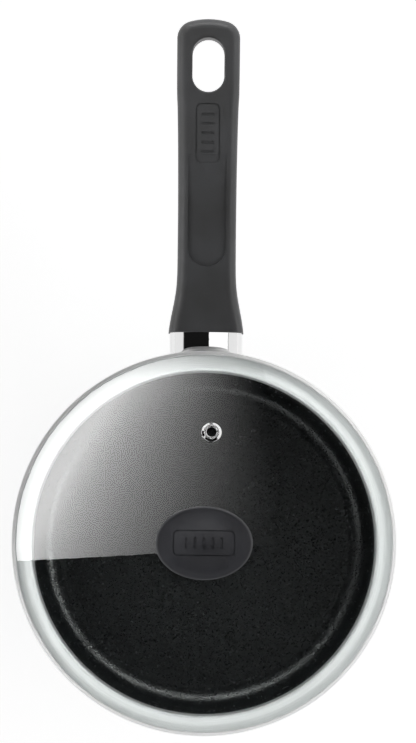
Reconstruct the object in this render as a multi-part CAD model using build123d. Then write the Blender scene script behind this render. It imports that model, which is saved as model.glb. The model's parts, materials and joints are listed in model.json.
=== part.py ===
"""Saucepan with a domed glass lid, in millimetres.

The origin is the centre of the underside of the base, +Z is up and the handle points along +Y.
Every separate piece is written to its own STEP file in parts/.
"""

import os
from math import asin, cos, radians, sin, sqrt

from build123d import *

# ---------------------------------------------------------------- driving dimensions
# Vessel, pressed from aluminium sheet
RIM_Z = 86.0            # height of the rim above the hob
NECK_R = 87.6           # inside radius where the lip starts to flare
FLOOR_R = 86.6          # inside radius where wall and floor would meet
FLOOR_T = 4.0           # thickness of the base
WALL = 2.2
LIP_R = 94.2            # outside radius of the flared pouring lip
LIP_T = 1.6             # height of the lip's edge
LIP_W = 1.9             # width of the lip's flat top
LIP_DROP = 6.0          # how far below the rim the flare starts
CORNER_IN = 13.5        # inside radius between floor and wall
CORNER_OUT = 13.0
COATING_T = 0.3         # non-stick coating
ENAMEL_T = 0.25         # outside enamel
DISC_R = 68.0           # induction disc let into the base
DISC_T = 0.8
DISC_HOLE_R = 2.6
DISC_RINGS = ((18.0, 8), (32.0, 14), (46.0, 20), (58.0, 26))   # ring radius, number of holes

# Handle, modelled along +Y from the wall and then tilted up
HANDLE_RISE = 10.0      # degrees above level
SEAT_Y = 91.0           # where the handle's own origin lies
SEAT_Z = 71.0
GRIP_FRONT_Y = 104.7    # upright front face of the grip
GRIP_END = 170.1        # far end of the grip, along the handle
GUARD_W, GUARD_H = 36.1, 20.4
GUARD_T = 0.9
GUARD_DEPTH = 2.5       # how far the guard reaches into the grip
FIT_GAP = 0.1           # gap between pieces that slip together
SLOT_W, SLOT_L, SLOT_Y = 15.8, 27.0, 147.2
SLOT_TILT = -10.0       # degrees from the handle's axis, so the slot is square to the end of the grip
GRIP_FILLET = 5.2
GRIP_SIDE_L = 174.0     # length of the side outline, a little beyond the end
SLOT_LIP = 0.9

# Thumb rest and panel on top of the grip
THUMB_W, THUMB_FRONT, THUMB_BACK, THUMB_DEPTH = 19.0, 48.4, 104.0, 1.2
PANEL_W, PANEL_L, PANEL_Y, PANEL_R = 12.0, 29.4, 114.5, 3.0
GROOVE_W, GROOVE_D = 0.6, 0.4
RIB_L, RIB_W, RIB_PITCH, RIB_COUNT = 6.4, 1.5, 4.6, 5

# M5 bolt that clamps grip and guard against the wall
BOLT_R, BOLT_HEAD_R, BOLT_HEAD_T = 2.5, 4.1, 4.0
BOLT_SEAT = 111.0       # where washer and head bear on the grip
BOLT_START = 2.5
BOLT_BORE_R = 2.8
BOLT_WASHER_R, BOLT_WASHER_T = 4.3, 1.0
BOLT_COUNTERBORE_R = 4.6
BOSS_R, BOSS_END = 7.0, 9.0
KEY_PLATE_T = 2.0

# Lid
DOME_R = 210.0          # outside radius of the glass dome
GLASS_T = 4.0
GLASS_R = 94.0          # radius of the glass edge
BAND_R = 95.0           # outside radius of the steel band
BAND_T = 0.6
BAND_GAP = 0.2          # the band rests this far above the rim
BAND_LIP_R = 93.0       # inner edge of the band's lip on the glass
SKIRT_R = 84.6          # outside radius of the band's skirt
SKIRT_DEPTH = 6.0
GLASS_GAP = 0.05        # gap between the glass and what grips it
KNOB_HOLE_R = 4.2
VENT_DISTANCE = 54.1    # from the middle of the lid
VENT_BEARING = 3.4      # degrees clockwise from the handle, seen from above
VENT_HOLE_R = 3.7

# Knob
KNOB_L, KNOB_W, KNOB_H = 47.0, 35.6, 27.0
KNOB_SEAL_R, KNOB_SEAL_T = 9.0, 1.0
KNOB_PANEL_L, KNOB_PANEL_W, KNOB_PANEL_R = 30.0, 12.4, 2.6
KNOB_RIB_L, KNOB_RIB_PITCH = 5.6, 4.2
INSERT_R, INSERT_L = 3.4, 9.0
SCREW_R, SCREW_HEAD_R, SCREW_HEAD_T = 2.4, 4.6, 2.8
KNOB_WASHER_R, KNOB_WASHER_T = 8.0, 1.0

# ---------------------------------------------------------------- worked out from the above
SEAT = Location((0, SEAT_Y, SEAT_Z), (HANDLE_RISE, 0, 0))
GLASS_EDGE_Z = RIM_Z + BAND_GAP + BAND_T + 0.35      # underside of the glass at its edge
DOME_Z = GLASS_EDGE_Z - sqrt((DOME_R - GLASS_T) ** 2 - GLASS_R**2)   # centre of the dome's sphere
APEX_Z = DOME_Z + DOME_R
UNDER_Z = APEX_Z - GLASS_T
FAR = 400.0             # longer than the whole object


# ---------------------------------------------------------------- helpers
def lathe(*outlines):
    """Solid of revolution about Z from a closed outline drawn as (radius, height)."""
    return revolve(Plane.XZ * make_face(outlines), Axis.Z, 360)


def outline(points, radii):
    """Closed outline with the given corner radii, 0 for a sharp corner."""
    return FilletPolyline(*points, radius=radii, close=True)


def ring(inner, outer, low, high):
    """Plain ring about Z; an inner radius of 0 gives a disc."""
    body = Pos(0, 0, low) * Cylinder(outer, high - low, align=(Align.CENTER, Align.CENTER, Align.MIN))
    if inner:
        body -= Pos(0, 0, low) * Cylinder(inner, high - low, align=(Align.CENTER, Align.CENTER, Align.MIN))
    return body


def rod(radius, start, end):
    """Cylinder along the handle's own Y axis."""
    along = Plane(origin=(0, start, 0), x_dir=(1, 0, 0), z_dir=(0, 1, 0))
    return extrude(along * Circle(radius), end - start)


def oval_rod(width, height, start, end):
    """Elliptical bar along the handle's own Y axis."""
    along = Plane(origin=(0, start, 0), x_dir=(1, 0, 0), z_dir=(0, 1, 0))
    return extrude(along * Ellipse(width / 2, height / 2), end - start)


def dome_height(radius, across):
    """Height of the sphere of that radius about the dome's centre, at a distance from the middle."""
    return DOME_Z + sqrt(radius**2 - across**2)


def dome_arc(radius, start, end):
    """Arc of that sphere, from one distance to another, in (radius, height)."""
    middle = (start + end) / 2
    return ThreePointArc(*((r, dome_height(radius, r)) for r in (start, middle, end)))


def inside_wall(z, offset=0.0):
    """Inside radius of the vessel's wall at a height below the flare."""
    return FLOOR_R + (NECK_R - FLOOR_R) * (z - FLOOR_T) / (RIM_Z - LIP_DROP - FLOOR_T) - offset


def cross_recess(radius, depth):
    """Two crossed slots for a screwdriver, cut downwards from Z = 0."""
    slot = Pos(0, 0, -depth / 2) * Box(radius * 1.5, radius * 0.28, depth)
    return slot + Rot(0, 0, 90) * slot


# ---------------------------------------------------------------- vessel
def vessel_outline(grow=0.0):
    """Outside of the vessel, closed along the axis; grow moves it outwards."""
    foot = inside_wall(0) + WALL + grow
    neck = inside_wall(RIM_Z - LIP_DROP) + WALL + grow
    points = [
        (0, -grow),
        (foot, -grow),
        (neck, RIM_Z - LIP_DROP),
        (LIP_R + grow, RIM_Z - LIP_T),
        (LIP_R + grow, RIM_Z),
        (0, RIM_Z),
    ]
    return outline(points, [0, CORNER_OUT + grow, 4.0, 0.7, 0.75, 0])


def hollow(offset=0.0, top=RIM_Z):
    """The space inside the vessel, flared at the lip and moved inwards by an offset."""
    neck_z = RIM_Z - LIP_DROP
    flare = (LIP_R - LIP_W - NECK_R) / LIP_DROP
    points = [
        (0, FLOOR_T + offset),
        (inside_wall(FLOOR_T, offset), FLOOR_T + offset),
        (NECK_R - offset, neck_z),
        (NECK_R - offset + flare * (top - neck_z), top),
        (0, top),
    ]
    return lathe(outline(points, [0, CORNER_IN - offset, 5.0, 0, 0]))


def induction_disc():
    """Steel disc let into the base, pierced so that the aluminium can key into it."""
    disc = ring(0, DISC_R, 0, DISC_T)
    for distance, count in DISC_RINGS:
        disc -= PolarLocations(distance, count) * ring(0, DISC_HOLE_R, 0, DISC_T)
    return disc


def pan_body(disc):
    shell = lathe(vessel_outline()) - hollow()
    mouth = shell.edges().filter_by(GeomType.CIRCLE).group_by(Axis.Z)[-1].sort_by(SortBy.RADIUS)[0]
    return fillet(mouth, 0.8) - disc


def nonstick_coating():
    """Coating on the whole inside, up to just below the rounded rim."""
    top = RIM_Z - 1.4
    return hollow(0, top) - hollow(COATING_T, top)


def outer_enamel():
    """Enamel on the outside, from the rounded foot to the flared lip."""
    skin = lathe(vessel_outline(ENAMEL_T)) - lathe(vessel_outline())
    return skin & ring(0, FAR, 1.2, RIM_Z - LIP_T - 0.8)


def clear_of_wall():
    """What lies outside the enamelled wall, with nothing touching it."""
    return lathe(vessel_outline(ENAMEL_T + 0.02))


# ---------------------------------------------------------------- handle
def handle_boss():
    """Aluminium boss welded to the wall, with the thread for the handle bolt."""
    boss = rod(BOSS_R, -4, BOSS_END) - rod(BOLT_R + 0.05, BOLT_START - 1, BOSS_END + 1)
    return SEAT * boss - clear_of_wall()


def flame_guard():
    """Polished steel sleeve between wall and grip."""
    sleeve = oval_rod(GUARD_W, GUARD_H, -6, 24)
    sleeve -= oval_rod(GUARD_W - 2 * GUARD_T, GUARD_H - 2 * GUARD_T, -6, 24)
    end = Pos(0, GRIP_FRONT_Y + GUARD_DEPTH + FAR / 2, SEAT_Z) * Box(FAR, FAR, FAR)
    return SEAT * sleeve - end - clear_of_wall()


def key_plate():
    """Plate inside the guard that keeps guard and grip from turning on the bolt."""
    width = GUARD_W - 2 * GUARD_T - 2 * FIT_GAP
    height = GUARD_H - 2 * GUARD_T - 2 * FIT_GAP
    plate = oval_rod(width, height, BOSS_END, BOSS_END + KEY_PLATE_T)
    return SEAT * (plate - rod(BOLT_BORE_R, BOSS_END - 1, BOSS_END + KEY_PLATE_T + 1))


def handle_bolt():
    """Long M5 bolt with its head towards the hanging slot."""
    head_start = BOLT_SEAT + BOLT_WASHER_T
    bolt = rod(BOLT_R, BOLT_START, head_start) + rod(BOLT_HEAD_R, head_start, head_start + BOLT_HEAD_T)
    recess = Location((0, head_start + BOLT_HEAD_T, 0), (-90, 0, 0)) * cross_recess(BOLT_HEAD_R, 2.0)
    return SEAT * (bolt - recess)


def bolt_washer():
    washer = rod(BOLT_WASHER_R, BOLT_SEAT, BOLT_SEAT + BOLT_WASHER_T)
    return SEAT * (washer - rod(BOLT_R + 0.2, BOLT_SEAT - 1, BOLT_SEAT + 2))


def grip_top():
    """Upper edge of the grip seen from the side, in (along, up)."""
    points = [(0, 10.9), (20, 11.0), (50, 11.2), (85, 10.4), (120, 7.2), (150, 2.6), (GRIP_SIDE_L, -2.2)]
    return Spline(*points)


def grip_underside():
    points = [(GRIP_SIDE_L, -13.3), (150, -9.6), (120, -6.9), (85, -6.0), (50, -7.6), (20, -10.4), (0, -11.0)]
    return Spline(*points)


def from_side(*lines):
    """Bar across the handle from a closed outline drawn as (along, up)."""
    side = Plane(origin=(0, 0, 0), x_dir=(0, 1, 0), z_dir=(1, 0, 0))
    return extrude(side * make_face(lines), FAR / 4, both=True)


def above_top(depth):
    """Everything higher than the grip's upper edge moved down by depth."""
    edge = Pos(0, -depth) * grip_top()
    start, end = edge @ 0, edge @ 1
    lid = Polyline((end.X, end.Y), (end.X, 60), (start.X, 60), (start.X, start.Y))
    return from_side(edge, lid)


def grip_plan():
    """The grip seen from above: waisted, with a rounded end."""
    half = [(18.75, 0), (18.7, 14), (17.1, 24.0), (15.2, 35.0), (14.5, 52), (14.45, 72), (15.2, 128)]
    corner_r, corner_turn = 8.6, 75.0
    shoulder = (15.6, GRIP_END - corner_r * sin(radians(corner_turn)) - 1.2)
    side = Spline(*half, shoulder, tangents=[(0, 1), (0, 1)])
    corner = JernArc(shoulder, (0, 1), corner_r, corner_turn)
    tip = corner @ 1
    end = ThreePointArc((tip.X, tip.Y), (0, GRIP_END), (-tip.X, tip.Y))
    front = Line((-half[0][0], 0), half[0])
    return make_face([side, corner, end, mirror(corner, Plane.YZ), mirror(side, Plane.YZ), front])


def rounded_frame(width, length, radius, line):
    """Thin rounded rectangle, the line's width across."""
    outer = RectangleRounded(width, length, radius)
    return outer - RectangleRounded(width - 2 * line, length - 2 * line, radius - line)


def grip_marks():
    """Incised frame with a row of short grip ribs inside it."""
    frame = rounded_frame(PANEL_W, PANEL_L, PANEL_R, GROOVE_W)
    ribs = GridLocations(0, RIB_PITCH, 1, RIB_COUNT) * SlotOverall(RIB_L, RIB_W)
    return Pos(0, PANEL_Y) * (frame + ribs)


def thumb_rest():
    """Shallow dish for the thumb, deepest at its round front end."""
    top = grip_top()
    front = THUMB_FRONT / GRIP_SIDE_L
    back = THUMB_BACK / GRIP_SIDE_L
    deep = (THUMB_FRONT - 4, (top @ front).Y - THUMB_DEPTH)
    shallow = (THUMB_BACK, (top @ back).Y)
    floor = ThreePointArc(deep, ((deep[0] + shallow[0]) / 2, (deep[1] + shallow[1]) / 2 + 0.3), shallow)
    lid = Polyline(shallow, (THUMB_BACK, 60), (deep[0], 60), deep)
    length = THUMB_BACK + 20 - THUMB_FRONT
    plan = Pos(0, THUMB_FRONT + length / 2) * Rot(0, 0, 90) * SlotOverall(length, THUMB_W)
    return from_side(floor, lid) & extrude(plan, 60)


def hanging_slot():
    """Cutter for the slot, square to the end of the grip."""
    slot = extrude(Rot(0, 0, 90) * SlotOverall(SLOT_L, SLOT_W), 40, both=True)
    return Location((0, SLOT_Y, -2), (SLOT_TILT, 0, 0)) * slot


def grip_block():
    """The grip's outside form with its long edges rounded."""
    top, under = grip_top(), grip_underside()
    back = Line(top @ 1, under @ 0)
    front = Line(under @ 1, top @ 0)
    block = from_side(top, back, under, front) & extrude(grip_plan(), 40, both=True)
    long_edges = [e for e in block.edges() if e.center().Y > 1 and abs(e.tangent_at(0.5).Z) < 0.6]
    return fillet(long_edges, GRIP_FILLET)


def handle_grip():
    grip = grip_block() - hanging_slot()
    lips = [e for e in grip.edges() if e.bounding_box().size.X < SLOT_W + 0.1
            and abs(e.center().Y - SLOT_Y) < SLOT_L / 2 + 1 and abs(e.center().X) < SLOT_W / 2 + 0.1]
    grip = fillet(lips, SLOT_LIP)
    grip -= thumb_rest()
    grip -= extrude(grip_marks(), 60) & above_top(GROOVE_D)
    grip -= rod(BOLT_COUNTERBORE_R, BOLT_SEAT, SLOT_Y)
    front = Pos(0, GRIP_FRONT_Y - FAR / 2, SEAT_Z) * Box(FAR, FAR, FAR)
    grip = SEAT * grip - front
    grip -= rebate()
    spigot_w = GUARD_W - 2 * GUARD_T - 2 * FIT_GAP
    spigot_h = GUARD_H - 2 * GUARD_T - 2 * FIT_GAP
    grip += SEAT * oval_rod(spigot_w, spigot_h, BOSS_END + KEY_PLATE_T, 22)
    return grip - SEAT * rod(BOLT_BORE_R, 0, BOLT_SEAT + 1)


def rebate():
    """Groove in the grip's front face that takes the end of the guard."""
    groove = oval_rod(GUARD_W + 2 * FIT_GAP, GUARD_H + 2 * FIT_GAP, 0, 30)
    beyond = Pos(0, GRIP_FRONT_Y + GUARD_DEPTH + FIT_GAP + FAR / 2, SEAT_Z) * Box(FAR, FAR, FAR)
    return SEAT * groove - beyond


# ---------------------------------------------------------------- lid
def vent_frame():
    """Plane at the vent with its normal square to the glass, origin on the outer surface."""
    bearing = radians(VENT_BEARING)
    lean = asin(VENT_DISTANCE / DOME_R)
    outward = Vector(sin(bearing), cos(bearing), 0)
    normal = outward * sin(lean) + Vector(0, 0, cos(lean))
    origin = Vector(0, 0, DOME_Z) + normal * DOME_R
    return Plane(origin=origin, z_dir=normal)


def lid_glass():
    top = dome_arc(DOME_R, KNOB_HOLE_R, GLASS_R)
    under = dome_arc(DOME_R - GLASS_T, GLASS_R, KNOB_HOLE_R)
    section = make_face([top, Line(top @ 1, under @ 0), under, Line(under @ 1, top @ 0)])
    edge = section.vertices().group_by(Axis.X)[-1]
    glass = revolve(Plane.XZ * fillet(edge, 1.2), Axis.Z, 360)
    return glass - vent_frame() * ring(0, VENT_HOLE_R, -8, 8)


def lid_band():
    """Steel band with a G section: lip on the glass, seat on the rim, skirt into the mouth."""
    middle = BAND_R - BAND_T / 2
    over_glass = DOME_R + GLASS_GAP + BAND_T / 2
    under_glass = DOME_R - GLASS_T - GLASS_GAP - BAND_T / 2
    seat_z = RIM_Z + BAND_GAP + BAND_T / 2
    skirt = SKIRT_R - BAND_T / 2
    points = [
        (BAND_LIP_R, dome_height(over_glass, BAND_LIP_R)),
        (middle, dome_height(over_glass, middle)),
        (middle, seat_z),
        (GLASS_R - 0.2, seat_z),
        (skirt + 0.5, dome_height(under_glass, skirt + 0.5)),
        (skirt, RIM_Z - SKIRT_DEPTH),
    ]
    line = FilletPolyline(*points, radius=[0.8, 0.6, 0.8, 0.9])
    section = make_face(offset(line, BAND_T / 2, kind=Kind.ARC, side=Side.BOTH))
    return revolve(Plane.XZ * section, Axis.Z, 360)


def knob_seal_upper():
    """Upper silicone washer, dished to sit on the dome."""
    disc = ring(SCREW_R + 0.1, KNOB_SEAL_R, APEX_Z - 2, APEX_Z + KNOB_SEAL_T)
    return disc - Pos(0, 0, DOME_Z) * Sphere(DOME_R + 0.01)


def knob_seal_lower():
    """Lower silicone washer, with a collar that lines the hole in the glass."""
    disc = ring(SCREW_R + 0.1, KNOB_SEAL_R, UNDER_Z - 1.4, UNDER_Z)
    disc &= Pos(0, 0, DOME_Z) * Sphere(DOME_R - GLASS_T - 0.01)
    collar = ring(SCREW_R + 0.1, KNOB_HOLE_R - 0.05, UNDER_Z - 1.4, APEX_Z - 0.2)
    return disc + collar


def knob_washer():
    top = UNDER_Z - 1.4
    return ring(SCREW_R + 0.2, KNOB_WASHER_R, top - KNOB_WASHER_T, top)


def knob_screw():
    """Pan-head screw from below, through the glass and into the brass insert."""
    bearing = UNDER_Z - 1.4 - KNOB_WASHER_T
    shank = ring(0, SCREW_R, bearing, APEX_Z + INSERT_L)
    head = ring(0, SCREW_HEAD_R, bearing - SCREW_HEAD_T, bearing)
    head = fillet(head.edges().group_by(Axis.Z)[0], 1.3)
    recess = Location((0, 0, bearing - SCREW_HEAD_T), (180, 0, 0)) * cross_recess(SCREW_HEAD_R, 1.6)
    return shank + head - recess


def knob_insert():
    """Threaded brass insert moulded into the knob."""
    low = APEX_Z + KNOB_SEAL_T + 0.05
    insert = ring(SCREW_R + 0.05, INSERT_R, low, low + INSERT_L)
    groove = ring(INSERT_R - 0.5, INSERT_R + 1, low + INSERT_L * 0.4, low + INSERT_L * 0.6)
    return insert - groove


def knob_form():
    """Oval mushroom: a foot, a waist for the fingers and a crowned cap."""
    long_r = KNOB_L / 2
    foot = APEX_Z - 3
    points = [
        (0, foot), (12.5, foot), (12.5, APEX_Z + 3.0), (9.2, APEX_Z + 9.0), (20.2, APEX_Z + 18.0),
        (long_r, APEX_Z + 21.0),
    ]
    rim = (long_r, APEX_Z + 22.3)
    shoulder = (long_r - 1.5, APEX_Z + 23.7)
    apex = (0, APEX_Z + KNOB_H)
    side = FilletPolyline(*points, radius=[0, 1.5, 6.0, 2.5])
    edge = Line(points[-1], rim)
    turn = TangentArc(rim, shoulder, tangent=(0, 1))
    crown = Spline(shoulder, apex, tangents=[turn % 1, (-1, 0)])
    section = make_face([side, edge, turn, crown, Line(apex, points[0])])
    return scale(revolve(Plane.XZ * section, Axis.Z, 360), by=(1, KNOB_W / KNOB_L, 1))


def knob():
    form = knob_form()
    frame = rounded_frame(KNOB_PANEL_L, KNOB_PANEL_W, KNOB_PANEL_R, GROOVE_W)
    ribs = GridLocations(KNOB_RIB_PITCH, 0, RIB_COUNT, 1) * (Rot(0, 0, 90) * SlotOverall(KNOB_RIB_L, RIB_W))
    marks = Pos(0, 0, APEX_Z + 20) * extrude(frame + ribs, 20)
    cut = marks - Pos(0, 0, -GROOVE_D) * form
    body = form - cut - Pos(0, 0, DOME_Z) * Sphere(DOME_R + KNOB_SEAL_T + 0.05)
    low = APEX_Z - 3
    body -= ring(0, KNOB_SEAL_R + 0.1, low, APEX_Z + KNOB_SEAL_T + 0.02)
    body -= ring(0, SCREW_R + 0.3, low, APEX_Z + KNOB_SEAL_T + INSERT_L + 2)
    return body - knob_insert()


# ---------------------------------------------------------------- vent
def vent_eyelet():
    """One-piece steel eyelet: rounded flange above, barrel through the glass, rolled rim below."""
    bore, barrel, flange = 2.35, 3.1, 5.0
    points = [
        (bore, 1.9), (bore, -5.6), (4.5, -5.6), (4.5, -4.95), (barrel, -4.95), (barrel, 0.55),
        (flange, 0.55), (flange, 1.0), (3.7, 1.9),
    ]
    return vent_frame() * lathe(outline(points, [0.7, 0.4, 0.25, 0.25, 0, 0, 0.15, 0.5, 0.7]))


def vent_seal():
    """Silicone bush round the eyelet, with a lip on each side of the glass."""
    inner, neck, lip = 3.15, VENT_HOLE_R - 0.05, 4.7
    under = -GLASS_T - 0.08
    points = [
        (inner, 0.5), (inner, under - 0.4), (lip, under - 0.4), (lip, under), (neck, under),
        (neck, 0.06), (lip, 0.06), (lip, 0.5),
    ]
    return vent_frame() * lathe(outline(points, [0] * len(points)))


def vent_washer():
    """Steel washer that the eyelet is rolled against."""
    return vent_frame() * ring(3.15, 4.9, -4.93, -4.52)


# ---------------------------------------------------------------- output
def build():
    disc = induction_disc()
    return {
        "pan_body": pan_body(disc),
        "nonstick_coating": nonstick_coating(),
        "outer_enamel": outer_enamel(),
        "induction_disc": disc,
        "handle_boss": handle_boss(),
        "flame_guard": flame_guard(),
        "key_plate": key_plate(),
        "handle_grip": handle_grip(),
        "handle_bolt": handle_bolt(),
        "bolt_washer": bolt_washer(),
        "lid_glass": lid_glass(),
        "lid_band": lid_band(),
        "knob": knob(),
        "knob_insert": knob_insert(),
        "knob_seal_upper": knob_seal_upper(),
        "knob_seal_lower": knob_seal_lower(),
        "knob_washer": knob_washer(),
        "knob_screw": knob_screw(),
        "vent_eyelet": vent_eyelet(),
        "vent_seal": vent_seal(),
        "vent_washer": vent_washer(),
    }


os.makedirs("parts", exist_ok=True)
for name, shape in build().items():
    export_step(shape, f"parts/{name}.step")
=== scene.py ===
import json
from math import asin, atan, cos, hypot, pi, radians, sin, sqrt, tan, tau

import bmesh
import bpy
from mathutils import Matrix, Vector

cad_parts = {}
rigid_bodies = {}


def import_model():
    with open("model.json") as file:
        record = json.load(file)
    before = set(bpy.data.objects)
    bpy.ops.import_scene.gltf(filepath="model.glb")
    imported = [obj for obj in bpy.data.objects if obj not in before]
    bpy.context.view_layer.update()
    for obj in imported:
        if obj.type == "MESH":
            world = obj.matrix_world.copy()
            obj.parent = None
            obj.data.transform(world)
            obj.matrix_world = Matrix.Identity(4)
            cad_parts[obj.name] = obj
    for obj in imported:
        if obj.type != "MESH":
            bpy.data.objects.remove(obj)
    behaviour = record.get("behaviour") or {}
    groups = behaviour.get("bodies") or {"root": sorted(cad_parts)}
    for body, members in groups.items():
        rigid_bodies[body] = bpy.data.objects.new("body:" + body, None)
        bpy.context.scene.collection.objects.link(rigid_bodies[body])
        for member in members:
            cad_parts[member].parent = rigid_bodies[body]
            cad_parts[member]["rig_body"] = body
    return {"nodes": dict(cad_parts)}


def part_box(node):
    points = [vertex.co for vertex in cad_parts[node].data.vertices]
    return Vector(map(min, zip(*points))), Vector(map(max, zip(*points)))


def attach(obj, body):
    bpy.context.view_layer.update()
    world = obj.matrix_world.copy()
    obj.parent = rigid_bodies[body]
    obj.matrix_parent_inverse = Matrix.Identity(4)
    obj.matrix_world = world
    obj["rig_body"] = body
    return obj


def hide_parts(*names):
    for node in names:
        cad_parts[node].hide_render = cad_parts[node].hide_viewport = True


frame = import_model()
nodes = frame["nodes"]
shown = dict(nodes)                              # node name -> the object that shows it
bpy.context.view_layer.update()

# ---------------------------------------------------------------- sizes, in metres
MM = 0.001
RIM_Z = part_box("pan_body")[1].z                  # rim of the pan

FLOOR_Z = 4.0 * MM                               # inside of the vessel
FLOOR_R = 86.6 * MM
NECK_R = 87.6 * MM
CORNER_R = 13.5 * MM
COATING_T = 0.3 * MM
COATING_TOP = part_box("nonstick_coating")[1].z

WALL = 2.2 * MM                                  # outside of the vessel
ENAMEL_T = 0.25 * MM
FOOT_R = 13.0 * MM
LIP_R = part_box("pan_body")[1].x
LIP_W = 1.9 * MM
LIP_T = 1.6 * MM
LIP_DROP = 6.0 * MM

LID_R = -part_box("lid_band")[0].x                 # outside of the lid's band
BAND_T = 0.6 * MM
BAND_LIP_R = 93.0 * MM
BAND_SEAT_Z = RIM_Z + 0.2 * MM
SKIRT_R = 84.6 * MM
SKIRT_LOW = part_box("lid_band")[0].z

GLASS_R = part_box("lid_glass")[1].x               # edge of the glass
GLASS_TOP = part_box("lid_glass")[1].z             # glass at the rim of the knob's hole
GLASS_T = 4 * MM
GLASS_ROUND = 1.2 * MM
KNOB_HOLE_R = 4.2 * MM
DOME_R = 210 * MM                                # outside radius of the dome
DOME_Z = GLASS_TOP - sqrt(DOME_R**2 - KNOB_HOLE_R**2)

VENT_DISTANCE = 54.1 * MM
VENT_BEARING = radians(3.4)
VENT_HOLE_R = 3.7 * MM

SEGMENTS = 360                                   # round the pan and the lid
SHARP = radians(32)                              # edges above this angle stay crisp
FLAKE = 0.5 * MM                                 # size of the coating's flakes


# ---------------------------------------------------------------- materials
class Finish:
    """A material under construction: a Principled shader and the nodes that feed it."""

    def __init__(self, name, **sockets):
        self.material = bpy.data.materials.new(name)
        self.material.use_nodes = True
        self.tree = self.material.node_tree
        self.shader = self.tree.nodes["Principled BSDF"]
        for socket, value in sockets.items():
            self.shader.inputs[socket.replace("_", " ")].default_value = value
        self.place = self.node("ShaderNodeTexCoord").outputs["Object"]

    def node(self, kind, inputs=None, **settings):
        made = self.tree.nodes.new(kind)
        for key, value in settings.items():
            setattr(made, key, value)
        for key, value in (inputs or {}).items():
            if isinstance(value, bpy.types.NodeSocket):
                self.tree.links.new(value, made.inputs[key])
            else:
                made.inputs[key].default_value = value
        return made

    def feed(self, socket, source):
        self.tree.links.new(source, self.shader.inputs[socket])

    def math(self, operation, a, b=0.0, c=0.0):
        return self.node("ShaderNodeMath", {0: a, 1: b, 2: c}, operation=operation).outputs[0]

    def noise(self, scale, detail=2.0, roughness=0.5, vector=None):
        inputs = {"Vector": vector or self.place, "Scale": scale}
        inputs.update({"Detail": detail, "Roughness": roughness})
        return self.node("ShaderNodeTexNoise", inputs).outputs["Fac"]

    def remap(self, value, low, high, to_low, to_high):
        inputs = {"Value": value, "From Min": low, "From Max": high}
        inputs.update({"To Min": to_low, "To Max": to_high})
        return self.node("ShaderNodeMapRange", inputs).outputs["Result"]

    def blend(self, factor, first, second):
        mix = self.node("ShaderNodeMix", data_type="RGBA")
        for slot, value in ((0, factor), (6, first), (7, second)):
            if isinstance(value, bpy.types.NodeSocket):
                self.tree.links.new(value, mix.inputs[slot])
            else:
                mix.inputs[slot].default_value = value
        return mix.outputs[2]

    def bump(self, height, strength, distance, normal=None):
        inputs = {"Height": height, "Strength": strength, "Distance": distance}
        if normal:
            inputs["Normal"] = normal
        return self.node("ShaderNodeBump", inputs).outputs["Normal"]

    def turned(self, pitch, along=3.0):
        """Streaks that run round the Z axis, as a lathe or a rotary brush leaves them."""
        axes = self.node("ShaderNodeSeparateXYZ", {"Vector": self.place}).outputs
        squares = [self.math("MULTIPLY", axes[i], axes[i]) for i in (0, 1)]
        across = self.math("SQRT", self.math("ADD", *squares))
        turn = self.math("ARCTAN2", axes[0], axes[1])
        ring = self.node("ShaderNodeCombineXYZ", {
            "X": self.math("DIVIDE", across, pitch),
            "Y": self.math("MULTIPLY", turn, along),
            "Z": self.math("DIVIDE", axes[2], pitch),
        })
        return self.noise(1.0, 3.0, 0.6, ring.outputs[0])


def grey(level, tint=(0, 0, 0)):
    return (level + tint[0], level + tint[1], level + tint[2], 1)


def phenolic(name, dark, light, grain=0.35 * MM):
    """Satin charcoal phenolic with a finely eroded mould texture."""
    f = Finish(name, Roughness=0.42, Specular_IOR_Level=0.45)
    cloud = f.noise(45, 3)
    fleck = f.noise(1 / grain, 2, 0.7)
    shade = f.math("MULTIPLY_ADD", fleck, 0.45, f.math("MULTIPLY", cloud, 0.55))
    f.feed("Base Color", f.blend(f.remap(shade, 0.35, 0.65, 0, 1), dark, light))
    f.feed("Roughness", f.remap(f.noise(110, 4), 0.3, 0.7, 0.36, 0.50))
    f.feed("Normal", f.bump(f.noise(1 / grain, 3, 0.6), 0.35, 0.03 * MM))
    return f.material


def clear_glass():
    f = Finish("clear_glass", Roughness=0.0, IOR=1.5, Transmission_Weight=1.0)
    f.shader.inputs["Base Color"].default_value = (0.965, 0.985, 0.98, 1)
    f.feed("Normal", f.bump(f.noise(28, 1), 0.02, 0.3 * MM))
    lamp = f.node("ShaderNodeLightPath").outputs["Is Shadow Ray"]
    through = f.node("ShaderNodeBsdfTransparent", {"Color": (0.92, 0.94, 0.935, 1)}).outputs[0]
    mix = f.node("ShaderNodeMixShader", {0: lamp, 1: f.shader.outputs[0], 2: through}).outputs[0]
    f.tree.links.new(mix, f.tree.nodes["Material Output"].inputs["Surface"])
    return f.material


def turned_metal(name, colour, rough, pitch, depth, along=3.0, metallic=1.0):
    """Metal with the fine circular lines of turning or rotary brushing."""
    f = Finish(name, Metallic=metallic, Roughness=rough)
    lines = f.turned(pitch, along)
    dull = tuple(c * 0.9 for c in colour[:3]) + (1,)
    f.feed("Base Color", f.blend(f.remap(lines, 0.35, 0.65, 0, 1), dull, colour))
    f.feed("Roughness", f.remap(lines, 0.3, 0.7, rough - 0.06, rough + 0.06))
    f.feed("Normal", f.bump(lines, 0.4, depth))
    return f.material


def polished_metal(name, colour, rough):
    f = Finish(name, Metallic=1.0, Roughness=rough)
    f.shader.inputs["Base Color"].default_value = colour
    f.feed("Roughness", f.remap(f.noise(90, 4), 0.35, 0.7, rough * 0.7, rough * 1.5))
    f.feed("Normal", f.bump(f.noise(35, 2), 0.05, 0.2 * MM))
    return f.material


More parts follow.
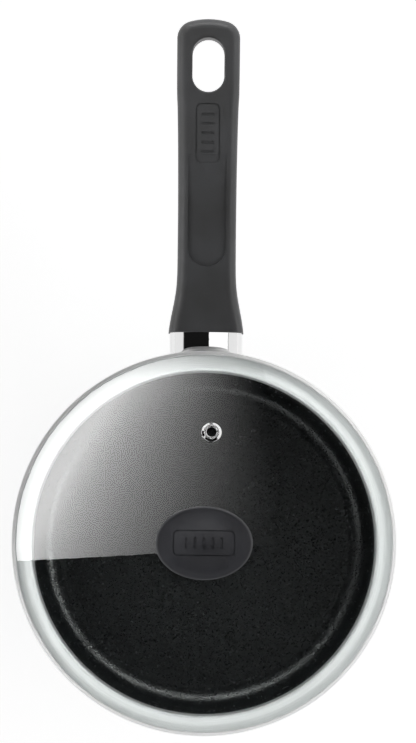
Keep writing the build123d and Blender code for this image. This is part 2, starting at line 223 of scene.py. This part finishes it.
def nonstick():
    """Black coating with fine grey and blue-green metallic flakes."""
    f = Finish("nonstick_black", Roughness=0.25, Specular_IOR_Level=0.5)
    cells = f.node("ShaderNodeTexVoronoi", {"Vector": f.place, "Scale": 1 / FLAKE})
    chance = f.node("ShaderNodeSeparateColor", {0: cells.outputs["Color"]}).outputs
    flake = f.math("POWER", chance[0], 5.0)
    hue = f.blend(chance[1], (0.020, 0.027, 0.028, 1), (0.034, 0.036, 0.036, 1))
    f.feed("Base Color", f.blend(flake, (0.0040, 0.0045, 0.0050, 1), hue))
    f.feed("Specular IOR Level", f.remap(chance[0], 0, 1, 0.05, 1.05))
    f.feed("Roughness", f.remap(f.noise(400, 3), 0.3, 0.7, 0.21, 0.28))
    f.feed("Normal", f.bump(f.noise(1 / (0.9 * MM), 2), 0.10, 0.02 * MM))
    return f.material


def enamel():
    """Anthracite enamel with a slight orange-peel surface."""
    f = Finish("anthracite_enamel", Roughness=0.28, Coat_Weight=0.6, Coat_Roughness=0.08)
    speck = f.noise(1 / (0.5 * MM), 2, 0.7)
    light = grey(0.026, (0, 0.001, 0.003))
    f.feed("Base Color", f.blend(f.remap(speck, 0.35, 0.7, 0, 1), grey(0.012), light))
    f.feed("Roughness", f.remap(f.noise(60, 4), 0.3, 0.7, 0.22, 0.36))
    f.feed("Normal", f.bump(f.noise(260, 2), 0.10, 0.06 * MM))
    return f.material


def silicone():
    f = Finish("black_silicone", Roughness=0.6, Specular_IOR_Level=0.4)
    f.feed("Base Color", f.blend(f.noise(500, 2), grey(0.012), grey(0.022)))
    f.feed("Normal", f.bump(f.noise(1500, 2), 0.2, 0.02 * MM))
    return f.material


def make_finishes():
    bright = grey(0.80)
    grip = phenolic("grip_phenolic", grey(0.038), grey(0.056, (0, 0.001, 0.004)))
    knob = phenolic("knob_phenolic", grey(0.023, (0, 0, 0.003)), grey(0.035, (0, 0.001, 0.007)))
    plated = polished_metal("plated_steel", grey(0.62), 0.24)
    polished = polished_metal("polished_steel", bright, 0.03)
    return {
        "pan_body": turned_metal(
            "turned_aluminium", grey(0.78), 0.24, 0.35 * MM, 0.012 * MM),
        "nonstick_coating": nonstick(),
        "outer_enamel": enamel(),
        "induction_disc": turned_metal(
            "brushed_disc", grey(0.55), 0.34, 0.5 * MM, 0.02 * MM, 9.0),
        "handle_boss": turned_metal("boss_aluminium", bright, 0.35, 0.4 * MM, 0.02 * MM),
        "flame_guard": polished,
        "key_plate": plated,
        "handle_grip": grip,
        "handle_bolt": plated,
        "bolt_washer": plated,
        "lid_glass": clear_glass(),
        "lid_band": turned_metal(
            "satin_band", bright, 0.38, 0.45 * MM, 0.012 * MM, 2.0, 0.5),
        "knob": knob,
        "knob_insert": turned_metal(
            "turned_brass", (0.75, 0.55, 0.26, 1), 0.28, 0.3 * MM, 0.01 * MM),
        "knob_seal_upper": silicone(),
        "knob_seal_lower": silicone(),
        "knob_washer": polished,
        "knob_screw": polished,
        "vent_eyelet": polished,
        "vent_seal": silicone(),
        "vent_washer": polished,
    }


# ---------------------------------------------------------------- outlines, as (radius, height)
def corner_arc(before, corner, after, radius, steps=16):
    """Points of the arc that rounds one corner, with a short straight lead at each end."""
    to_before = (before - corner).normalized()
    to_after = (after - corner).normalized()
    half = to_before.angle(to_after) / 2
    centre = corner + (to_before + to_after).normalized() * (radius / sin(half))
    start = (corner + to_before * (radius / tan(half)) - centre).normalized()
    end = (corner + to_after * (radius / tan(half)) - centre).normalized()
    arc = [centre + start.slerp(end, step / steps) * radius for step in range(steps + 1)]
    lead = radius * 0.05
    return [arc[0] + to_before * lead, *arc, arc[-1] + to_after * lead]


def rounded(points, radii):
    """Outline with each corner rounded by its radius; 0 leaves it sharp."""
    points = [Vector(point) for point in points]
    made = []
    for i, radius in enumerate(radii):
        before, after = points[i - 1], points[(i + 1) % len(points)]
        made += corner_arc(before, points[i], after, radius) if radius else [points[i]]
    return made


def dome_height(radius, across):
    """Height of a sphere about the dome's centre."""
    return DOME_Z + sqrt(radius**2 - across**2)


def dome_arc(radius, start, end, steps=48):
    across = [start + (end - start) * step / steps for step in range(steps + 1)]
    return [Vector((r, dome_height(radius, r))) for r in across]


def clipped(path, low, high):
    """The stretch of a rising path between two heights."""
    kept = []
    for a, b in zip(path, path[1:]):
        ends = sorted((a, b), key=lambda point: point.y)
        for level in (low, high):
            if ends[0].y < level < ends[1].y:
                kept.append(a.lerp(b, (level - a.y) / (b.y - a.y)))
        if low <= b.y <= high:
            kept.append(b)
    return sorted(kept, key=lambda point: point.y)


def ribbon(path, thickness, cap_steps=6):
    """Closed outline of sheet metal that follows a path, with round ends."""
    half = thickness / 2
    sides = ([], [])
    for i, point in enumerate(path):
        along = (path[min(i + 1, len(path) - 1)] - path[max(i - 1, 0)]).normalized()
        across = Vector((-along.y, along.x)) * half
        sides[0].append(point + across)
        sides[1].append(point - across)
    caps = []
    for end, inner in ((path[-1], path[-2]), (path[0], path[1])):
        along = (end - inner).normalized()
        across = Vector((-along.y, along.x))
        turns = [pi * step / cap_steps for step in range(1, cap_steps)]
        caps.append([end + (across * cos(t) + along * sin(t)) * half for t in turns])
    return sides[0] + caps[0] + sides[1][::-1] + caps[1]


# ---------------------------------------------------------------- meshes
def smooth(piece):
    piece.data.shade_smooth()
    piece.data.set_sharp_from_angle(angle=SHARP)


def lathe(name, outline, segments=SEGMENTS, place=None):
    """Closed outline turned about Z, as quads."""
    count = len(outline)
    verts = []
    for i in range(segments):
        turn = tau * i / segments
        verts += [(point[0] * sin(turn), point[0] * cos(turn), point[1]) for point in outline]
    faces = []
    for i in range(segments):
        here, there = i * count, (i + 1) % segments * count
        for j in range(count):
            k = (j + 1) % count
            faces.append((here + j, here + k, there + k, there + j))
    mesh = bpy.data.meshes.new(name)
    mesh.from_pydata(verts, [], faces)
    work = bmesh.new()
    work.from_mesh(mesh)
    bmesh.ops.remove_doubles(work, verts=work.verts, dist=0.0001 * MM)
    bmesh.ops.recalc_face_normals(work, faces=work.faces)
    if place:
        bmesh.ops.transform(work, matrix=place, verts=work.verts)
    work.to_mesh(mesh)
    work.free()
    made = bpy.data.objects.new(name, mesh)
    bpy.context.scene.collection.objects.link(made)
    return made


def cut(piece, cutter):
    """Takes the cutter's shape out of the piece."""
    boolean = piece.modifiers.new("cut", "BOOLEAN")
    boolean.operation = "DIFFERENCE"
    boolean.solver = "EXACT"
    boolean.object = cutter
    result = piece.evaluated_get(bpy.context.evaluated_depsgraph_get())
    mesh = bpy.data.meshes.new_from_object(result)
    piece.modifiers.clear()
    piece.data = mesh
    bpy.data.objects.remove(cutter)


def take_over(piece, node):
    """The piece stands for a CAD node: same body and finish."""
    piece.data.materials.clear()
    piece.data.materials.append(finishes[node])
    smooth(piece)
    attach(piece, nodes[node]["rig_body"])
    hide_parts(node)
    shown[node] = piece


# ---------------------------------------------------------------- pieces
def vent_place():
    """Frame at the vent, square to the glass, with its origin on the outside."""
    lean = asin(VENT_DISTANCE / DOME_R)
    to_vent = Matrix.Rotation(-VENT_BEARING, 4, "Z") @ Matrix.Rotation(-lean, 4, "X")
    return Matrix.Translation((0, 0, DOME_Z)) @ to_vent @ Matrix.Translation((0, 0, DOME_R))


def make_glass():
    edge = GLASS_R - 3 * MM
    points = dome_arc(DOME_R, KNOB_HOLE_R, edge)
    inside_r = DOME_R - GLASS_T
    under = dome_arc(inside_r, edge, KNOB_HOLE_R)
    corners = [Vector((GLASS_R, dome_height(radius, GLASS_R))) for radius in (DOME_R, inside_r)]
    around = [points[-1], *corners, under[0]]
    points += corner_arc(around[0], around[1], around[2], GLASS_ROUND)
    points += corner_arc(around[1], around[2], around[3], GLASS_ROUND)
    points += under
    glass = lathe("glass_dome", points)
    reach = 8 * MM
    drill = [(0, reach), (VENT_HOLE_R, reach), (VENT_HOLE_R, -reach), (0, -reach)]
    cut(glass, lathe("vent_drill", drill, 64, vent_place()))
    take_over(glass, "lid_glass")


def make_band():
    play = 0.05 * MM                             # between the band and the glass
    middle = LID_R - BAND_T / 2
    over = DOME_R + play + BAND_T / 2
    under = DOME_R - GLASS_T - play - BAND_T / 2
    seat = BAND_SEAT_Z + BAND_T / 2
    skirt = SKIRT_R - BAND_T / 2
    bend = skirt + 0.5 * MM
    path = rounded([
        (BAND_LIP_R + BAND_T / 2, dome_height(over, BAND_LIP_R)),
        (middle, dome_height(over, middle)),
        (middle, seat),
        (GLASS_R - 0.2 * MM, seat),
        (bend, dome_height(under, bend)),
        (skirt, SKIRT_LOW + BAND_T / 2),
    ], [0, 0.8 * MM, 0.6 * MM, 0.8 * MM, 0.9 * MM, 0])
    take_over(lathe("steel_band", ribbon(path, BAND_T)), "lid_band")


def inside_path(offset):
    """Inside of the vessel from the middle of the floor up to the lip, moved inwards."""
    neck_z = RIM_Z - LIP_DROP
    flare = (LIP_R - LIP_W - NECK_R) / LIP_DROP
    points = [
        (0, FLOOR_Z + offset),
        (FLOOR_R - offset, FLOOR_Z + offset),
        (NECK_R - offset, neck_z),
        (NECK_R - offset + flare * (COATING_TOP - neck_z), COATING_TOP),
    ]
    return rounded(points, [0, CORNER_R - offset, 5 * MM, 0])


def make_coating():
    take_over(lathe("coating", inside_path(0) + inside_path(COATING_T)[::-1]), "nonstick_coating")


def outside_path(grow):
    """Outside of the vessel from the middle of the base up to the lip's edge."""
    slope = (NECK_R - FLOOR_R) / (RIM_Z - LIP_DROP - FLOOR_Z)
    points = [
        (0, -grow),
        (FLOOR_R - slope * FLOOR_Z + WALL + grow, -grow),
        (NECK_R + WALL + grow, RIM_Z - LIP_DROP),
        (LIP_R + grow, RIM_Z - LIP_T),
    ]
    return rounded(points, [0, FOOT_R + grow, 4 * MM, 0])


def make_enamel():
    low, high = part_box("outer_enamel")
    outer = clipped(outside_path(ENAMEL_T), low.z, high.z)
    inner = clipped(outside_path(0), low.z, high.z)
    take_over(lathe("enamel_skin", outer + inner[::-1]), "outer_enamel")


def make_eyelet():
    bore, barrel, flange = 2.35 * MM, 3.1 * MM, 5.0 * MM
    foot, roll, seat, top = -5.6 * MM, -4.95 * MM, 0.55 * MM, 1.9 * MM
    points = [
        (bore, top), (bore, foot), (4.5 * MM, foot), (4.5 * MM, roll),
        (barrel, roll), (barrel, seat),
        (flange, seat), (flange, 1.0 * MM), (3.7 * MM, top),
    ]
    radii = [0.7, 0.4, 0.25, 0.25, 0, 0, 0.15, 0.5, 0.7]
    outline = rounded(points, [radius * MM for radius in radii])
    take_over(lathe("vent_ring", outline, 128, vent_place()), "vent_eyelet")


def dress_nodes():
    for name, piece in nodes.items():
        piece.data.materials.clear()
        piece.data.materials.append(finishes[name])
        smooth(piece)


# ---------------------------------------------------------------- stage
CAMERA_ABOVE = 1.8          # camera above the rim, straight over the middle of the pan
VIEW_CENTRE = Vector((0.002, 0.085))
VIEW_HEIGHT = 0.3685        # how much of the rim's plane the long side of the picture takes in
TURN = radians(0.54)        # camera turned about the vertical
SENSOR = 36.0
WHITE_BELOW = radians(37)   # elevations between which the world goes from white to dark
DARK_ABOVE = radians(41)
PANEL_Z = RIM_Z + 1.5       # panels that light the outside and the band


def floor_material():
    f = Finish("floor_white", Roughness=0.9, Specular_IOR_Level=0.0, Emission_Strength=0.80)
    f.shader.inputs["Base Color"].default_value = grey(0.90)
    f.shader.inputs["Emission Color"].default_value = grey(1.0)
    return f.material


def make_floor():
    size = 14.0
    mesh = bpy.data.meshes.new("floor")
    corners = [(-size, -size, 0), (size, -size, 0), (size, size, 0), (-size, size, 0)]
    mesh.from_pydata(corners, [], [(0, 1, 2, 3)])
    floor = bpy.data.objects.new("floor", mesh)
    floor.location.z = -0.2 * MM
    mesh.materials.append(floor_material())
    bpy.context.scene.collection.objects.link(floor)


def make_world():
    """White all round near the horizon, dark overhead."""
    world = bpy.data.worlds.new("studio")
    world.use_nodes = True
    bpy.context.scene.world = world
    tree = world.node_tree
    place = tree.nodes.new("ShaderNodeTexCoord")
    axes = tree.nodes.new("ShaderNodeSeparateXYZ")
    tree.links.new(place.outputs["Generated"], axes.inputs[0])
    ramp = tree.nodes.new("ShaderNodeMapRange")
    ramp.interpolation_type = "SMOOTHSTEP"
    ramp.inputs["From Min"].default_value = sin(WHITE_BELOW)
    ramp.inputs["From Max"].default_value = sin(DARK_ABOVE)
    ramp.inputs["To Min"].default_value = 1.05
    ramp.inputs["To Max"].default_value = 0.01
    tree.links.new(axes.outputs["Z"], ramp.inputs["Value"])
    background = tree.nodes["Background"]
    background.inputs["Color"].default_value = (1, 1, 1, 1)
    side = tree.nodes.new("ShaderNodeMath")
    side.operation = "MULTIPLY_ADD"
    tree.links.new(axes.outputs["Y"], side.inputs[0])
    side.inputs[1].default_value = 0.18
    side.inputs[2].default_value = 0.95
    glow = tree.nodes.new("ShaderNodeMath")
    glow.operation = "MULTIPLY"
    tree.links.new(ramp.outputs["Result"], glow.inputs[0])
    tree.links.new(side.outputs[0], glow.inputs[1])
    tree.links.new(glow.outputs[0], background.inputs["Strength"])


def make_soft_box():
    """Soft box that the glass mirrors, brighter towards its far left corner.

    It shines on the glass alone, and gives nothing to rays that have passed through the glass.
    """
    left, right, near, far, height = -6.0, 0.68, -0.056, 6.0, 1.5
    mesh = bpy.data.meshes.new("soft_box")
    slant = 0.08                                 # of the near edge, per metre across
    low, high = near - slant * (near - left), near + slant * right
    corners = [(left, low, 0), (right, high, 0), (right, far, 0), (left, far, 0)]
    mesh.from_pydata(corners, [], [(3, 2, 1, 0)])
    box = bpy.data.objects.new("soft_box", mesh)
    box.location.z = RIM_Z + height
    f = Finish("soft_box_light")
    axes = f.node("ShaderNodeSeparateXYZ", {"Vector": f.place}).outputs
    across = f.math("SUBTRACT", right, axes["X"])
    fall = f.math("MULTIPLY", f.math("MULTIPLY", across, across), 3.9)
    lift = f.math("MULTIPLY_ADD", axes["Y"], 0.5, 0.57)
    strength = f.math("MINIMUM", f.math("MULTIPLY", fall, lift), 15.0)
    from_below = f.node("ShaderNodeLightPath").outputs["Is Transmission Ray"]
    strength = f.math("MULTIPLY", strength, f.math("SUBTRACT", 1.0, from_below))
    emission = f.node("ShaderNodeEmission", {"Strength": strength}).outputs[0]
    f.tree.links.new(emission, f.tree.nodes["Material Output"].inputs["Surface"])
    mesh.materials.append(f.material)
    bpy.context.scene.collection.objects.link(box)
    box.visible_camera = False
    falls_on(box, [shown["lid_glass"]])


def falls_on(light, pieces):
    """The light reaches only these pieces."""
    group = bpy.data.collections.new(light.name + "_group")
    for piece in pieces:
        group.objects.link(piece)
    light.light_linking.receiver_collection = group


def panel_light(name, centre, size, radiance, pieces, seen=True, turn=0.0):
    """Panel that shines straight down on a few pieces alone.

    An unseen panel is not sampled by mirrored rays, which suits pieces under the glass.
    """
    data = bpy.data.lights.new(name, "AREA")
    data.shape = "RECTANGLE"
    data.size, data.size_y = size
    data.energy = radiance * pi * size[0] * size[1]
    data.cycles.use_multiple_importance_sampling = seen
    light = bpy.data.objects.new(name, data)
    light.location = centre
    light.rotation_euler.z = turn
    bpy.context.scene.collection.objects.link(light)
    light.visible_camera = False
    falls_on(light, pieces)


def make_corner_lights():
    """Ring of panels for the corner of the vessel, strongest beyond the handle and at the right."""
    count, ring, height, depth = 16, 1.44, 0.9, 1.12
    size = (2 * ring * tan(pi / count), depth)
    coating = [shown["nonstick_coating"]]
    for i in range(count):
        turn = tau * i / count
        right, beyond = max(sin(turn), 0.0), max(cos(turn), 0.0)
        radiance = 0.4 + 2.6 * right**4 + 3.3 * beyond**4
        centre = (ring * sin(turn), ring * cos(turn), RIM_Z + height)
        panel_light(f"corner_{i}", centre, size, radiance, coating, False, -turn)


def make_panels():
    """Lights for the outside, the polished guard, the grip, the band and the floor of the pan."""
    apart = ("lid_glass", "lid_band", "nonstick_coating", "flame_guard")
    outside = [piece for name, piece in shown.items() if name not in apart]
    panel_light("key_panel", (-1.5, 0.9, PANEL_Z), (1.2, 1.9), 6.0, outside)
    panel_light("overhead_panel", (-0.1, 0.9, PANEL_Z), (1.5, 1.9), 2.4, outside)
    guard_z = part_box("flame_guard")[1].z
    above = 0.8
    near_edge, far_edge = above * tan(radians(5.8)), above * tan(radians(49))
    middle = (near_edge + far_edge) / 2
    size = (far_edge - near_edge, 2.0)
    guard_place = (middle, -0.19, guard_z + above)
    panel_light("guard_panel", guard_place, size, 1.3, [shown["flame_guard"]])
    side_z = guard_z + 0.9
    dark_pieces = [shown["handle_grip"], shown["knob"]]
    panel_light("left_panel", (-2.2, 0.2, side_z), (1.6, 2.4), 3.4, dark_pieces)
    panel_light("right_panel", (2.2, 0.2, side_z), (1.6, 2.4), 1.4, dark_pieces)
    panel_light("far_panel", (0, 2.4, side_z), (2.4, 1.6), 7.0, dark_pieces)
    band, coating = [shown["lid_band"]], [shown["nonstick_coating"]]
    panel_light("band_panel", (-0.3, 0.8, PANEL_Z), (6.0, 6.0), 0.80, band, seen=False)
    floor_place = (0.021, -0.021, RIM_Z + 1.2)
    panel_light("floor_panel", floor_place, (0.15, 0.15), 0.95, coating, seen=False)


def make_camera():
    data = bpy.data.cameras.new("camera")
    camera = bpy.data.objects.new("camera", data)
    bpy.context.scene.collection.objects.link(camera)
    bpy.context.scene.camera = camera
    camera.location = (0, 0, RIM_Z + CAMERA_ABOVE)
    tilt = [atan(offset / CAMERA_ABOVE) for offset in VIEW_CENTRE]
    camera.rotation_euler = (tilt[1], -tilt[0], TURN)
    data.sensor_width = SENSOR
    data.lens = SENSOR * hypot(CAMERA_ABOVE, VIEW_CENTRE.length) / VIEW_HEIGHT
    data.clip_start = 0.05
    data.clip_end = 60


def make_stage():
    make_floor()
    make_world()
    make_soft_box()
    make_corner_lights()
    make_panels()
    make_camera()
    bpy.context.scene.view_settings.view_transform = "Standard"


finishes = make_finishes()
dress_nodes()
make_glass()
make_band()
make_coating()
make_enamel()
make_eyelet()
make_stage()
